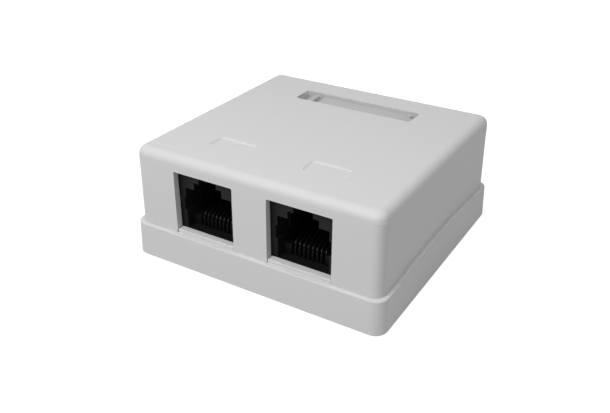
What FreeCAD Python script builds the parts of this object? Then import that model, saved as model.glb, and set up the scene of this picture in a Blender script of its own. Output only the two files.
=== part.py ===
"""Surface mount box with two modular jacks, as a parametric FreeCAD document.

The origin is the middle of the underside. +X runs to the right along the front, -Y is the front with the jack
openings, and +Z is up. Lengths are in millimetres and angles in degrees.
"""

import FreeCAD, Part

import math
import operator
import os
from types import SimpleNamespace

import Sketcher

# ---------------------------------------------------------------- driving dimensions

DRIVING_DIMENSIONS = [
    # base tray
    ("base_draft", 1.9, "angle at which the base walls lean inwards"),
    ("base_corner", 2.8, "radius of the base's upright corners"),
    ("rim_height", 7.95, "top of the rim at the front, the back and the corners"),
    ("rim_rise", 1, "how much higher the side rims are in the middle"),
    ("rise_inset", 5, "where a side rim starts to rise, from the base's front or back"),
    ("rise_spread", 16, "run over which a side rim rises"),
    ("rise_blend", 20, "radius that blends that rise"),
    ("rim_step", 0.88, "how far the cover stands behind the rim's outer face"),
    ("rim_gap", 0.2, "clearance between the rim and the cover's skirt"),
    ("rim_lap", 0.04, "clearance between the rim's top and the cover's shoulder"),
    ("rim_round", 0.35, "radius on the rim's outer edge"),
    ("foot_bevel", 0.25, "small bevel round the underside"),
    ("floor_thickness", 2, "floor of the base"),
    ("seat_height", 5, "ledge that the cover stands on"),
    ("seat_width", 1.6, "width of that ledge"),
    ("well_corner", 2, "inside corner radius of the base"),
    ("side_room", 8.35, "from the board's side to the base's side"),
    ("rear_room", 16.93, "from the board's rear edge to the base's rear"),
    # cover
    ("cover_draft", 0.87, "angle at which the cover walls lean inwards"),
    ("cover_corner", 2.4, "radius of the cover's upright corners"),
    ("cover_round", 2, "radius round the cover's top"),
    ("cover_wall", 1.6, "side walls of the cover at the seam"),
    ("cover_top", 2, "top wall of the cover"),
    ("skirt_step", 0.25, "how far the skirt stands in from the cover's walls"),
    ("top_room", 0.8, "clearance over the jacks"),
    ("rib_thickness", 1.2, "stiffening ribs inside the cover"),
    ("rib_reach", 1.2, "how far the side ribs stand in from the wall"),
    ("rib_root", 0.3, "how far a rib reaches into its wall"),
    ("rib_length", 14, "how far the ribs come down from the top"),
    ("rib_spacing", 14, "distance between side ribs"),
    ("barb_length", 7, "length of a snap barb along the wall"),
    ("barb_reach", 0.15, "how far a snap barb stands out"),
    ("barb_root", 0.5, "how far a barb reaches into the skirt"),
    ("barb_height", 1.6, "height of a snap barb"),
    ("barb_spacing", 28, "distance between the barbs on one side"),
    ("catch_depth", 0.35, "depth of the catch recess in the rim"),
    ("catch_fit", 0.4, "room round a barb in its catch"),
    # jack openings
    ("port_pitch", 22.96, "distance between the two jacks"),
    ("port_lap", 0.31, "how far the cover laps over each side of a jack"),
    ("port_lip", 0.72, "how far the cover laps over the top of a jack"),
    ("port_round", 0.3, "corner radius of the opening"),
    ("sill_rise", 0.82, "sill under each jack, above the rim"),
    ("sill_gap", 0.15, "clearance round the sill"),
    ("sill_round", 0.25, "radius on the sill's front edge"),
    # marks on the top
    ("tray_width", 9.5, "icon tray, left to right"),
    ("tray_depth", 5, "icon tray, front to back"),
    ("tray_setback", 9.9, "icon tray, from the base's front"),
    ("tray_sink", 0.3, "how deep the icon tray is"),
    ("tray_round", 1, "corner radius of the icon tray"),
    ("label_length", 30.1, "label pocket, left to right"),
    ("label_width", 5.9, "label pocket, front to back"),
    ("label_inset", 9.6, "label pocket, from the base's rear"),
    ("label_round", 0.7, "corner radius of the label pocket"),
    ("window_thickness", 0.75, "clear label window"),
    ("window_sink", 0.05, "how far the window lies below the top"),
    ("window_gap", 0.15, "clearance round the window"),
    ("strip_sink", 1.1, "floor under the label strip, below the top"),
    ("strip_thickness", 0.2, "label strip"),
    ("pocket_wall", 1.2, "wall under and round the label pocket"),
    ("pry_slot", 1.8, "slot at the window's left end"),
    ("leg_slot", 1.3, "slot for the window's inner leg"),
    ("seat_bar", 1.6, "bar between those two slots"),
    ("hook_seat", 3, "raised seat at the window's right end"),
    # cable ways
    ("notch_width", 9, "cable notch in the rear wall"),
    ("notch_height", 8.2, "top of that notch above the ledge"),
    ("notch_round", 2, "corner radius of that notch"),
    ("entry_length", 16, "cable entry through the floor, left to right"),
    ("entry_width", 8, "cable entry through the floor, front to back"),
    ("entry_inset", 5.5, "that entry, from the base's rear"),
    ("entry_round", 3, "corner radius of that entry"),
    ("tie_spacing", 30, "distance between the two cable tie bridges"),
    ("tie_length", 7, "tie bridge, left to right"),
    ("tie_width", 3, "tie bridge, front to back"),
    ("tie_height", 5, "tie bridge above the floor"),
    ("tie_window", 3.6, "opening under the bridge, left to right"),
    ("tie_clear", 3, "opening under the bridge, height"),
    # fixing to the wall
    ("wall_hole_offset", 2.7, "wall screws beyond the board's sides"),
    ("wall_hole_setback", 2.13, "wall screws behind the jacks"),
    ("wall_hole_radius", 2.1, "hole for a wall screw"),
    ("wall_sink", 1.2, "countersink of that hole"),
    ("wall_well_radius", 4.4, "room for the head of a wall screw"),
    # circuit board
    ("board_thickness", 1.6, "circuit board"),
    ("board_lift", 4.25, "circuit board above the floor"),
    ("board_edge", 0.16, "board beyond the sides of the punch-down blocks"),
    ("board_setback", 2, "board edge behind the jack faces"),
    ("board_tail", 7, "board behind the punch-down blocks"),
    ("board_corner", 1, "corner radius of the board"),
    ("board_notch_radius", 4.6, "notch in the board beside a wall screw"),
    ("post_radius", 2.5, "support post under the board"),
    ("post_inset", 2.3, "rear posts from the board's sides and rear edge"),
    ("post_setback", 9.4, "front posts from the board's front edge"),
    ("screw_post_radius", 3, "post that takes a board screw"),
    ("screw_setback", 6.6, "front board screw from the board's front edge"),
    ("screw_inset", 3.2, "rear board screw from the board's rear edge"),
    ("screw_shank_radius", 1.1, "board screw"),
    ("screw_fit", 0.05, "clearance round the board screw in its post"),
    ("screw_length", 5, "board screw under its head"),
    ("screw_head_radius", 2.3, "head of the board screw"),
    ("screw_head_height", 1.5, "head of the board screw"),
    ("screw_hole_fit", 0.2, "clearance round the screw in the board"),
    ("recess_length", 2.4, "cross recess of the screw, end to end"),
    ("recess_width", 0.6, "arm of the cross recess"),
    ("recess_depth", 0.8, "depth of the cross recess"),
    # jack housing
    ("jack_setback", 1.85, "jack face behind the cover's front"),
    ("jack_width", 15.4, "jack housing"),
    ("jack_height", 15.2, "jack housing above the board"),
    ("jack_depth", 18, "jack housing"),
    ("jack_rear_wall", 1.8, "wall behind the plug cavity"),
    ("cavity_floor", 1, "bottom wall of the jack"),
    ("plug_width", 11.8, "plug cavity, left to right"),
    ("plug_top", 10.5, "top of the plug cavity above the board"),
    ("shoulder_width", 7.1, "step above the plug cavity"),
    ("shoulder_rise", 1.65, "height of that step"),
    ("latch_width", 4.4, "slot for the plug's latch"),
    ("latch_rise", 1.45, "height of the latch slot above that step"),
    ("ear_reach", 0.45, "how far a side notch widens the plug cavity"),
    ("ear_bottom", 5.25, "bottom of the side notches above the board"),
    ("ear_height", 2.95, "side notches"),
    ("ear_depth", 5, "side notches, from the jack face"),
    ("peg_radius", 1.6, "locating peg under the jack"),
    ("peg_length", 2.8, "locating peg below the jack"),
    ("peg_spacing", 11.44, "distance between the two pegs"),
    ("peg_setback", 6.4, "pegs behind the jack face"),
    ("peg_fit", 0.05, "clearance round a peg in the board"),
    # contact carrier
    ("carrier_fit", 0.12, "clearance between carrier and housing"),
    ("comb_setback", 2, "front of the comb behind the jack face"),
    ("comb_depth", 2.2, "comb, front to back"),
    ("comb_top", 3.4, "top of the comb above the board"),
    ("comb_round", 0.22, "radius on the comb's upper edges"),
    ("slab_top", 2.4, "top of the carrier's slab above the board"),
    ("block_setback", 12, "rear block of the carrier behind the jack face"),
    ("block_top", 8.4, "top of that block above the board"),
    ("contact_fit", 0.08, "clearance round a contact in its slots"),
    ("slot_room", 0.45, "comb slot behind the contact"),
    ("guide_depth", 1.3, "guide slots in the rear block, front to back"),
    ("guide_room", 1.4, "guide slot below the contact's end"),
    # spring contacts
    ("contact_count", 8, "contacts in one jack"),
    ("contact_pitch", 1.016, "distance between contacts"),
    ("contact_width", 0.4, "contact strip, left to right"),
    ("contact_thickness", 0.3, "contact strip"),
    ("contact_setback", 1, "upright run of the strip behind the comb's front"),
    ("contact_run", 1.4, "level run of the strip above the board"),
    ("contact_rise", 0.1, "front bend above the comb's top"),
    ("tip_inset", 0.7, "end of the strip behind the rear block's front"),
    ("tip_drop", 0.8, "end of the strip below the rear block's top"),
    ("tail_inset", 1.4, "front row of tails behind the rear block's front"),
    ("tail_stagger", 2.4, "distance between the two rows of tails"),
    ("tail_length", 2.6, "tails below the board's top"),
    ("tail_fit", 0.12, "clearance round a tail in the board"),
    # punch-down blocks
    ("clip_count", 8, "clips in one block"),
    ("clip_pitch", 2.54, "distance between clips"),
    ("block_gap", 6, "punch-down block behind the jack"),
    ("block_clear", 1.64, "gap between the two blocks"),
    ("idc_margin", 0.5, "end wall of the block beyond the last pitch"),
    ("idc_depth", 8, "punch-down block, front to back"),
    ("idc_height", 11, "punch-down block above the board"),
    ("slot_length", 6.5, "wire slot, down from the block's top"),
    ("wire_slot", 1.2, "wire slot"),
    ("wire_mouth", 2.1, "mouth of the wire slot"),
    ("mouth_depth", 1.5, "how deep that mouth tapers"),
    ("clip_width", 2, "metal clip"),
    ("clip_thickness", 0.5, "metal clip"),
    ("clip_sink", 1.5, "top of the clip below the block's top"),
    ("clip_floor", 1, "shoulder of the clip above the board"),
    ("clip_fit", 0.06, "clearance round the clip"),
    ("clip_slit", 0.26, "slit that grips the wire"),
    ("clip_slit_length", 6, "slit, down from the clip's top"),
    ("clip_mouth", 0.9, "mouth of the slit"),
    ("clip_mouth_depth", 1.6, "how deep the mouth tapers"),
    ("clip_tail_width", 0.6, "solder tail of the clip"),
]

doc = FreeCAD.newDocument("surface_mount_jack_box")


class Size:
    """A size that carries its number and the expression that keeps it bound to the sheet."""

    def __init__(self, number, text=None):
        self.number = float(number)
        self.text = text or f"({self.number:g})"

    def __add__(self, other):
        return combined(self, "+", other)

    def __radd__(self, other):
        return combined(other, "+", self)

    def __sub__(self, other):
        return combined(self, "-", other)

    def __rsub__(self, other):
        return combined(other, "-", self)

    def __mul__(self, other):
        return combined(self, "*", other)

    def __rmul__(self, other):
        return combined(other, "*", self)

    def __truediv__(self, other):
        return combined(self, "/", other)

    def __neg__(self):
        return combined(0, "-", self)


SIGNS = {"+": operator.add, "-": operator.sub, "*": operator.mul, "/": operator.truediv}


def number_of(value):
    return value.number


def sized(value):
    """A plain number as a Size; a Size as it is."""
    return value if isinstance(value, Size) else Size(value)


def combined(left, sign, right):
    left, right = sized(left), sized(right)
    return Size(SIGNS[sign](left.number, right.number), f"({left.text} {sign} {right.text})")


def tangent(angle):
    return Size(math.tan(math.radians(angle.number)), f"tan({angle.text})")


def sheet_of_sizes():
    """Writes the driving dimensions into the sheet and returns them by name."""
    sheet = doc.addObject("Spreadsheet::Sheet", "Sizes")
    for line, (alias, number, note) in enumerate(DRIVING_DIMENSIONS, start=1):
        sheet.set(f"A{line}", note)
        sheet.set(f"B{line}", str(number))
        sheet.setAlias(f"B{line}", alias)
    doc.recompute()
    return SimpleNamespace(
        **{alias: Size(number, f"Sizes.{alias}") for alias, number, _ in DRIVING_DIMENSIONS}
    )


size = sheet_of_sizes()

# ---------------------------------------------------------------- places shared by several pieces

IDC_WIDTH = size.clip_pitch * size.clip_count + size.idc_margin * 2
CLIP_SPAN = size.clip_pitch * (size.clip_count - 1)
BLOCK_X = (IDC_WIDTH + size.block_clear) / 2
BOARD_HALF = BLOCK_X + IDC_WIDTH / 2 + size.board_edge
BOARD_DEPTH = size.jack_depth - size.board_setback + size.block_gap + size.idc_depth + size.board_tail

BASE_LEAN = size.rim_height * tangent(size.base_draft)
JACK_INSET = BASE_LEAN + size.rim_step + size.jack_setback
HALF_WIDTH = BOARD_HALF + size.side_room
HALF_DEPTH = (JACK_INSET + size.board_setback + BOARD_DEPTH + size.rear_room) / 2
COVER_HALF_WIDTH = HALF_WIDTH - BASE_LEAN - size.rim_step
COVER_HALF_DEPTH = HALF_DEPTH - BASE_LEAN - size.rim_step

BOARD_BOTTOM = size.floor_thickness + size.board_lift
BOARD_TOP = BOARD_BOTTOM + size.board_thickness
JACK_TOP = BOARD_TOP + size.jack_height
COVER_CEILING = JACK_TOP + size.top_room
HEIGHT = COVER_CEILING + size.cover_top


def cover_face(half_size, level):
    """Where the cover's leaning outer wall stands at a height, from its half size at the seam."""
    return half_size + (size.rim_height - level) * tangent(size.cover_draft)


SKIRT_HALF_WIDTH = COVER_HALF_WIDTH - size.skirt_step
SKIRT_HALF_DEPTH = COVER_HALF_DEPTH - size.skirt_step
SKIRT_CORNER = size.cover_corner - size.skirt_step
SEAT_HALF_WIDTH = SKIRT_HALF_WIDTH + size.rim_gap
SEAT_HALF_DEPTH = SKIRT_HALF_DEPTH + size.rim_gap
BARB_MIDDLE = (size.seat_height + size.rim_height) / 2

JACK_FACE = JACK_INSET - HALF_DEPTH
BOARD_FRONT = JACK_FACE + size.board_setback
BOARD_REAR = BOARD_FRONT + BOARD_DEPTH
BLOCK_Y = JACK_FACE + size.jack_depth + size.block_gap + size.idc_depth / 2

WALL_HOLE = (BOARD_HALF + size.wall_hole_offset, JACK_FACE + size.jack_depth + size.wall_hole_setback)
POSTS = [
    (BOARD_HALF - size.post_inset, BOARD_FRONT + size.post_setback),
    (BOARD_HALF - size.post_inset, BOARD_REAR - size.post_inset),
]
SCREW_PLACES = {
    "front_board_screw": BOARD_FRONT + size.screw_setback,
    "rear_board_screw": BOARD_REAR - size.screw_inset,
}

LABEL_MIDDLE = HALF_DEPTH - size.label_inset - size.label_width / 2
LABEL_LEFT = -size.label_length / 2
WINDOW_BOTTOM = HEIGHT - size.window_sink - size.window_thickness
STRIP_FLOOR = HEIGHT - size.strip_sink
BAR_LEFT = LABEL_LEFT + size.pry_slot
BAR_RIGHT = BAR_LEFT + size.seat_bar
LEG_RIGHT = BAR_RIGHT + size.leg_slot
HOOK_LEFT = size.label_length / 2 - size.hook_seat

SIDES = {"left": -1, "right": 1}

# ---------------------------------------------------------------- drawing and modelling steps

PLANES = {"top": ("XY_Plane", 1), "front": ("XZ_Plane", -1), "side": ("YZ_Plane", 1)}


def origin_feature(body, role):
    return next(feature for feature in body.Origin.OriginFeatures if feature.Role == role)


def new_body(name):
    body = doc.addObject("PartDesign::Body", name)
    body.Label = name
    return body


def place(body, x=0, y=0, z=0):
    """Puts a body that is drawn in a frame of its own where it belongs in the box."""
    for axis, value in zip("xyz", (x, y, z)):
        body.setExpression(f"Placement.Base.{axis}", sized(value).text)


def new_sketch(body, name, view, level):
    """A sketch seen from the top at height z, from the front at depth y, or from the side at x."""
    role, sign = PLANES[view]
    sketch = body.newObject("Sketcher::SketchObject", f"{body.Label}_{name}")
    sketch.AttachmentSupport = [(origin_feature(body, role), "")]
    sketch.MapMode = "FlatFace"
    sketch.setExpression("AttachmentOffset.Base.z", (sized(level) * sign).text)
    return sketch


def hold(sketch, kind, value, *references):
    """Adds a constraint of one number and binds it to the sheet."""
    index = sketch.addConstraint(Sketcher.Constraint(kind, *references, value.number))
    sketch.setExpression(f"Constraints[{index}]", value.text)


def hold_point(sketch, geometry, vertex, x, y):
    hold(sketch, "DistanceX", x, -1, 1, geometry, vertex)
    hold(sketch, "DistanceY", y, -1, 1, geometry, vertex)


def draw_circle(sketch, x, y, radius):
    x, y, radius = sized(x), sized(y), sized(radius)
    middle = FreeCAD.Vector(x.number, y.number, 0)
    circle = Part.Circle(middle, FreeCAD.Vector(0, 0, 1), radius.number)
    index = sketch.addGeometry(circle)
    hold_point(sketch, index, 3, x, y)
    hold(sketch, "Radius", radius, index)


def corner_arc(before, corner, after, radius):
    """The arc that rounds a corner, whether it turns left, and where the straight lines meet it."""
    towards = (before - corner).normalize()
    away = (after - corner).normalize()
    half_angle = towards.getAngle(away) / 2
    reach = radius / math.tan(half_angle)
    middle = corner + (towards + away).normalize() * (radius / math.sin(half_angle))
    first, last = corner + towards * reach, corner + away * reach
    turns_left = (corner - before).cross(after - corner).z > 0
    start, end = (first, last) if turns_left else (last, first)
    angles = [math.atan2(point.y - middle.y, point.x - middle.x) for point in (start, end)]
    if angles[1] < angles[0]:
        angles[1] += 2 * math.pi
    circle = Part.Circle(middle, FreeCAD.Vector(0, 0, 1), radius)
    return Part.ArcOfCircle(circle, *angles), turns_left, first, last


def draw_chain(sketch, corners, closed=True):
    """Straight lines through (x, y) corners. A corner (x, y, radius) is rounded, and stays where its lines cross."""
    corners = [tuple(sized(value) for value in corner) for corner in corners]
    points = [FreeCAD.Vector(corner[0].number, corner[1].number, 0) for corner in corners]
    count = len(corners)
    last_line = count if closed else count - 1
    starts = list(points)
    ends = [points[(index + 1) % count] for index in range(count)]
    arcs = {}
    for index, corner in enumerate(corners):
        if len(corner) == 3:
            before, after = points[index - 1], points[(index + 1) % count]
            arc, turns_left, first, last = corner_arc(before, points[index], after, corner[2].number)
            arcs[index] = (arc, turns_left)
            ends[index - 1] = first
            starts[index] = last
    lines = [sketch.addGeometry(Part.LineSegment(starts[i], ends[i])) for i in range(last_line)]
    for index, corner in enumerate(corners):
        x, y = corner[0], corner[1]
        if index in arcs:
            arc, turns_left = arcs[index]
            bend = sketch.addGeometry(arc)
            point = sketch.addGeometry(Part.Point(points[index]), True)
            incoming, outgoing = lines[index - 1], lines[index]
            near, far = (1, 2) if turns_left else (2, 1)
            sketch.addConstraint(Sketcher.Constraint("Tangent", incoming, 2, bend, near))
            sketch.addConstraint(Sketcher.Constraint("Tangent", bend, far, outgoing, 1))
            sketch.addConstraint(Sketcher.Constraint("PointOnObject", point, 1, incoming))
            sketch.addConstraint(Sketcher.Constraint("PointOnObject", point, 1, outgoing))
            hold_point(sketch, point, 1, x, y)
            hold(sketch, "Radius", corner[2], bend)
        elif index < last_line:
            hold_point(sketch, lines[index], 1, x, y)
            if closed or index > 0:
                sketch.addConstraint(Sketcher.Constraint("Coincident", lines[index - 1], 2, lines[index], 1))
        else:
            hold_point(sketch, lines[index - 1], 2, x, y)


def rectangle(x_low, y_low, x_high, y_high, radius=None):
    """The four corners of a rectangle, counter-clockwise, rounded where a radius is given."""
    corners = [(x_low, y_low), (x_high, y_low), (x_high, y_high), (x_low, y_high)]
    return [(*corner, radius) if radius is not None else corner for corner in corners]


def around(x, y, half_x, half_y, radius=None):
    """A rectangle about its middle."""
    return rectangle(x - half_x, y - half_y, x + half_x, y + half_y, radius)


def settled(body, feature):
    """Recomputes a new feature, makes it the body's tip and stops if it has failed."""
    body.Tip = feature
    doc.recompute()
    if not set(feature.State).isdisjoint({"Invalid", "Error"}) or feature.Shape.isNull():
        raise RuntimeError(f"{feature.Name} could not be made: {feature.State}")
    return feature


def corner_points(shape):
    """Every corner of a solid. A cut that leaves them all as they were has removed nothing."""
    return {(round(point.X, 6), round(point.Y, 6), round(point.Z, 6)) for point in shape.Vertexes}


def extrude(kind, body, name, view, level, chains, length, reverse=False, symmetric=False, circles=()):
    """Pads or pockets closed outlines and circles. A pocket that removes nothing stops the build."""
    before = corner_points(body.Shape) if kind == "Pocket" else None
    sketch = new_sketch(body, f"{name}_sketch", view, level)
    for chain in chains:
        draw_chain(sketch, chain)
    for circle in circles:
        draw_circle(sketch, *circle)
    feature = body.newObject(f"PartDesign::{kind}", f"{body.Label}_{name}")
    feature.Profile = sketch
    feature.Reversed = reverse
    if symmetric:
        feature.SideType = "Symmetric"
    feature.setExpression("Length", sized(length).text)
    settled(body, feature)
    if before == corner_points(feature.Shape):
        raise RuntimeError(f"{feature.Name} cuts nothing")
    return feature


def pad(body, name, view, level, chains, length, **options):
    return extrude("Pad", body, name, view, level, chains, length, **options)


def pocket(body, name, view, level, chains, length, **options):
    return extrude("Pocket", body, name, view, level, chains, length, **options)


def repeat(body, name, features, axis, length, count):
    """Copies features along an origin axis, evenly over a length."""
    pattern = body.newObject("PartDesign::LinearPattern", f"{body.Label}_{name}")
    pattern.Originals = features
    pattern.Direction = (origin_feature(body, axis), [""])
    pattern.setExpression("Length", sized(length).text)
    pattern.setExpression("Occurrences", sized(count).text)
    return settled(body, pattern)


def mirror(body, name, features, plane="YZ_Plane"):
    mirrored = body.newObject("PartDesign::Mirrored", f"{body.Label}_{name}")
    mirrored.Originals = features
    mirrored.MirrorPlane = (origin_feature(body, plane), [""])
    return settled(body, mirrored)


def dress(kind, body, name, amount, wanted):
    """Fillets or chamfers the edges of the tip that a test picks."""
    base = body.Tip
    names = [f"Edge{number}" for number, edge in enumerate(base.Shape.Edges, start=1) if wanted(edge)]
    if not names:
        raise RuntimeError(f"{body.Label}_{name} finds no edge")
    feature = body.newObject(f"PartDesign::{kind}", f"{body.Label}_{name}")
    feature.Base = (base, names)
    feature.setExpression("Radius" if kind == "Fillet" else "Size", amount.text)
    return settled(body, feature)


def lean_inwards(body, name, angle):
    """Drafts the upright outer faces of the tip. They keep their place at the level of the underside."""
    base = body.Tip
    faces = enumerate(base.Shape.Faces, start=1)
    names = [f"Face{number}" for number, face in faces if abs(face.normalAt(0, 0).z) < 0.5]
    feature = body.newObject("PartDesign::Draft", f"{body.Label}_{name}")
    feature.Base = (base, names)
    feature.NeutralPlane = (origin_feature(body, "XY_Plane"), [""])
    feature.setExpression("Angle", angle.text)
    return settled(body, feature)


def upright(edge):
    """Whether an edge runs nearly along Z."""
    box = edge.BoundBox
    return box.ZLength > box.XLength + box.YLength


def at_height(level, top=None):
    """A test for edges that lie between two heights, or flat at one."""
    top = level if top is None else top

    def wanted(edge):
        box = edge.BoundBox
        return box.ZMin > level.number - 1e-4 and box.ZMax < top.number + 1e-4

    return wanted


# ---------------------------------------------------------------- base tray


def make_base():
    """The tray: drafted walls, a rim round the cover, a ledge it stands on, and what the board rests on."""
    body = new_body("base")
    half_x, half_y = HALF_WIDTH, HALF_DEPTH
    rim_top = size.rim_height + size.rim_rise
    pad(body, "block", "top", 0, [rectangle(-half_x, -half_y, half_x, half_y)], rim_top)
    lean_inwards(body, "walls", size.base_draft)
    dress("Fillet", body, "corners", size.base_corner, upright)
    above = rim_line(rim_top + size.rim_step)
    pocket(body, "rim_line", "side", 0, [above], half_x * 4, symmetric=True)
    dress("Fillet", body, "rim_round", size.rim_round, at_height(size.rim_height, rim_top))
    dress("Chamfer", body, "foot_bevel", size.foot_bevel, at_height(sized(0)))

    seat_x, seat_y = SEAT_HALF_WIDTH, SEAT_HALF_DEPTH
    seat = rectangle(-seat_x, -seat_y, seat_x, seat_y, SKIRT_CORNER + size.rim_gap)
    pocket(body, "seat", "top", rim_top, [seat], rim_top - size.seat_height)
    well_x, well_y = seat_x - size.seat_width, seat_y - size.seat_width
    well = rectangle(-well_x, -well_y, well_x, well_y, size.well_corner)
    pocket(body, "well", "top", size.seat_height, [well], size.seat_height - size.floor_thickness)

    add_sills(body)
    add_board_posts(body)
    add_wall_holes(body)
    add_cable_ways(body)
    add_catches(body)
    return body


def rim_line(limit, lift=Size(0)):
    """What lies between the rim's top, seen from the side, and a level. The side rims rise gently in the middle."""
    low = size.rim_height + lift
    high = low + size.rim_rise
    outer = HALF_DEPTH - size.rise_inset
    inner = outer - size.rise_spread
    past = HALF_DEPTH + size.rim_step
    return [
        (-past, low),
        (-outer, low, size.rise_blend),
        (-inner, high, size.rise_blend),
        (inner, high, size.rise_blend),
        (outer, low, size.rise_blend),
        (past, low),
        (past, limit),
        (-past, limit),
    ]


def add_sills(body):
    """The raised sills that close the bottom of the cover's two openings."""
    root = -SEAT_HALF_DEPTH - size.rim_gap / 2
    face = -COVER_HALF_DEPTH + size.sill_gap
    back = JACK_FACE - size.sill_gap
    top = size.rim_height + size.sill_rise
    profile = [
        (root, size.floor_thickness),
        (back, size.floor_thickness),
        (back, top),
        (face, top, size.sill_round),
        (face, size.rim_height),
        (root, size.rim_height),
    ]
    width = size.jack_width - size.port_lap * 2 - size.sill_gap * 2
    sill = pad(body, "sill", "side", size.port_pitch / 2, [profile], width, symmetric=True)
    mirror(body, "sills", [sill])


def both_sides(x, y, radius):
    """A circle on each side of the box."""
    return [(x * side, y, radius) for side in SIDES.values()]


def add_board_posts(body):
    """Four plain posts and two screw posts that hold the circuit board off the floor."""
    circles = [circle for x, y in POSTS for circle in both_sides(x, y, size.post_radius)]
    circles += [(0, y, size.screw_post_radius) for y in SCREW_PLACES.values()]
    pad(body, "posts", "top", size.floor_thickness, [], size.board_lift, circles=circles)
    bore = size.screw_shank_radius + size.screw_fit
    depth = size.screw_length - size.board_thickness + size.screw_fit
    bores = [(0, y, bore) for y in SCREW_PLACES.values()]
    pocket(body, "post_bores", "top", BOARD_BOTTOM, [], depth, circles=bores)


def add_wall_holes(body):
    """Countersunk holes for two wall screws, each in a well that gives its head room."""
    well_depth = size.seat_height - size.floor_thickness
    wells = both_sides(*WALL_HOLE, size.wall_well_radius)
    pocket(body, "screw_wells", "top", size.seat_height, [], well_depth, circles=wells)
    holes = both_sides(*WALL_HOLE, size.wall_hole_radius)
    pocket(body, "wall_holes", "top", size.floor_thickness, [], size.floor_thickness, circles=holes)
    floor_edges = at_height(size.floor_thickness)

    def hole_edge(edge):
        round_edge = edge.Curve.TypeId == "Part::GeomCircle"
        return round_edge and floor_edges(edge) and abs(edge.Curve.Radius - size.wall_hole_radius.number) < 1e-4

    dress("Chamfer", body, "countersinks", size.wall_sink, hole_edge)


def add_cable_ways(body):
    """A cable entry through the floor, a notch in the rear rim and two bridges for cable ties."""
    entry_middle = HALF_DEPTH - size.entry_inset - size.entry_width / 2
    entry = around(0, entry_middle, size.entry_length / 2, size.entry_width / 2, size.entry_round)
    pocket(body, "floor_entry", "top", size.floor_thickness, [entry], size.floor_thickness)
    notch_half = size.notch_width / 2
    notch = rectangle(-notch_half, SEAT_HALF_DEPTH - size.seat_width, notch_half, HALF_DEPTH)
    pocket(body, "rear_notch", "top", size.rim_height, [notch], size.rim_height - size.seat_height)

    bridge_x = size.tie_spacing / 2
    bridges = [
        around(bridge_x * side, entry_middle, size.tie_length / 2, size.tie_width / 2) for side in SIDES.values()
    ]
    pad(body, "tie_bridges", "top", size.floor_thickness, bridges, size.tie_height)
    window_middle = size.floor_thickness + size.tie_clear / 2
    windows = [
        around(bridge_x * side, window_middle, size.tie_window / 2, size.tie_clear / 2) for side in SIDES.values()
    ]
    pocket(body, "tie_windows", "front", entry_middle, windows, size.tie_width * 2, symmetric=True)


def add_catches(body):
    """Shallow recesses in the side rims that the cover's barbs sit in."""
    middle = SEAT_HALF_WIDTH + (size.catch_depth - size.rim_gap) / 2
    half_x = (size.catch_depth + size.rim_gap) / 2
    half_z = (size.barb_height + size.catch_fit) / 2
    recesses = [around(middle * side, BARB_MIDDLE, half_x, half_z) for side in SIDES.values()]
    length = size.barb_length + size.catch_fit * 2
    catches = pocket(body, "catches", "front", size.barb_spacing / 2, recesses, length, symmetric=True)
    mirror(body, "rear_catches", [catches], "XZ_Plane")


# ---------------------------------------------------------------- cover


def make_cover():
    """The shell: drafted walls over a skirt that stands in the rim, two openings, icon trays and a label pocket."""
    body = new_body("cover")
    foot_x, foot_y = (cover_face(half, Size(0)) for half in (COVER_HALF_WIDTH, COVER_HALF_DEPTH))
    outline = rectangle(-foot_x, -foot_y, foot_x, foot_y)
    pad(body, "shell", "top", size.seat_height, [outline], HEIGHT - size.seat_height)
    lean_inwards(body, "walls", size.cover_draft)
    dress("Fillet", body, "corners", size.cover_corner, upright)
    dress("Fillet", body, "top_round", size.cover_round, at_height(HEIGHT))
    below = rim_line(size.seat_height - size.rim_step, size.rim_lap)
    pocket(body, "shoulder", "side", 0, [below], HALF_WIDTH * 4, symmetric=True)
    skirt = around(0, 0, SKIRT_HALF_WIDTH, SKIRT_HALF_DEPTH, SKIRT_CORNER)
    pad(body, "skirt", "top", size.seat_height, [skirt], COVER_CEILING - size.seat_height)
    inner_x, inner_y = COVER_HALF_WIDTH - size.cover_wall, COVER_HALF_DEPTH - size.cover_wall
    hollow = rectangle(-inner_x, -inner_y, inner_x, inner_y, size.cover_corner - size.cover_wall)
    pocket(body, "hollow", "top", size.seat_height, [hollow], COVER_CEILING - size.seat_height, reverse=True)
    add_ribs(body, inner_x, inner_y)
    add_port_openings(body)
    add_icon_trays(body)
    add_label_pocket(body)
    add_rear_notch(body)
    add_barbs(body)
    return body


def add_ribs(body, inner_x, inner_y):
    """Upright ribs inside the two side walls, and one in the middle of the front wall."""
    first_y = -size.rib_spacing - size.rib_thickness / 2
    for name, side in SIDES.items():
        near, far = sorted((side * (inner_x - size.rib_reach), side * (inner_x + size.rib_root)), key=number_of)
        rib = rectangle(near, first_y, far, first_y + size.rib_thickness)
        first = pad(body, f"{name}_rib", "top", COVER_CEILING, [rib], size.rib_length, reverse=True)
        repeat(body, f"{name}_ribs", [first], "Y_Axis", size.rib_spacing * 2, 3)
    half = size.rib_thickness / 2
    rib = rectangle(-half, -inner_y - size.rib_root, half, -inner_y + size.rib_reach * 2)
    pad(body, "front_rib", "top", COVER_CEILING, [rib], size.rib_length, reverse=True)


def add_port_openings(body):
    """Two openings in the front wall that run out at the bottom, so that the cover lifts over the jacks."""
    middle = size.port_pitch / 2
    half = size.jack_width / 2 - size.port_lap
    low, high = size.seat_height - size.cover_wall, JACK_TOP - size.port_lip
    opening = [
        (middle - half, low),
        (middle + half, low),
        (middle + half, high, size.port_round),
        (middle - half, high, size.port_round),
    ]
    cut = pocket(body, "port_opening", "front", -HALF_DEPTH, [opening], JACK_INSET)
    mirror(body, "port_openings", [cut])


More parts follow.
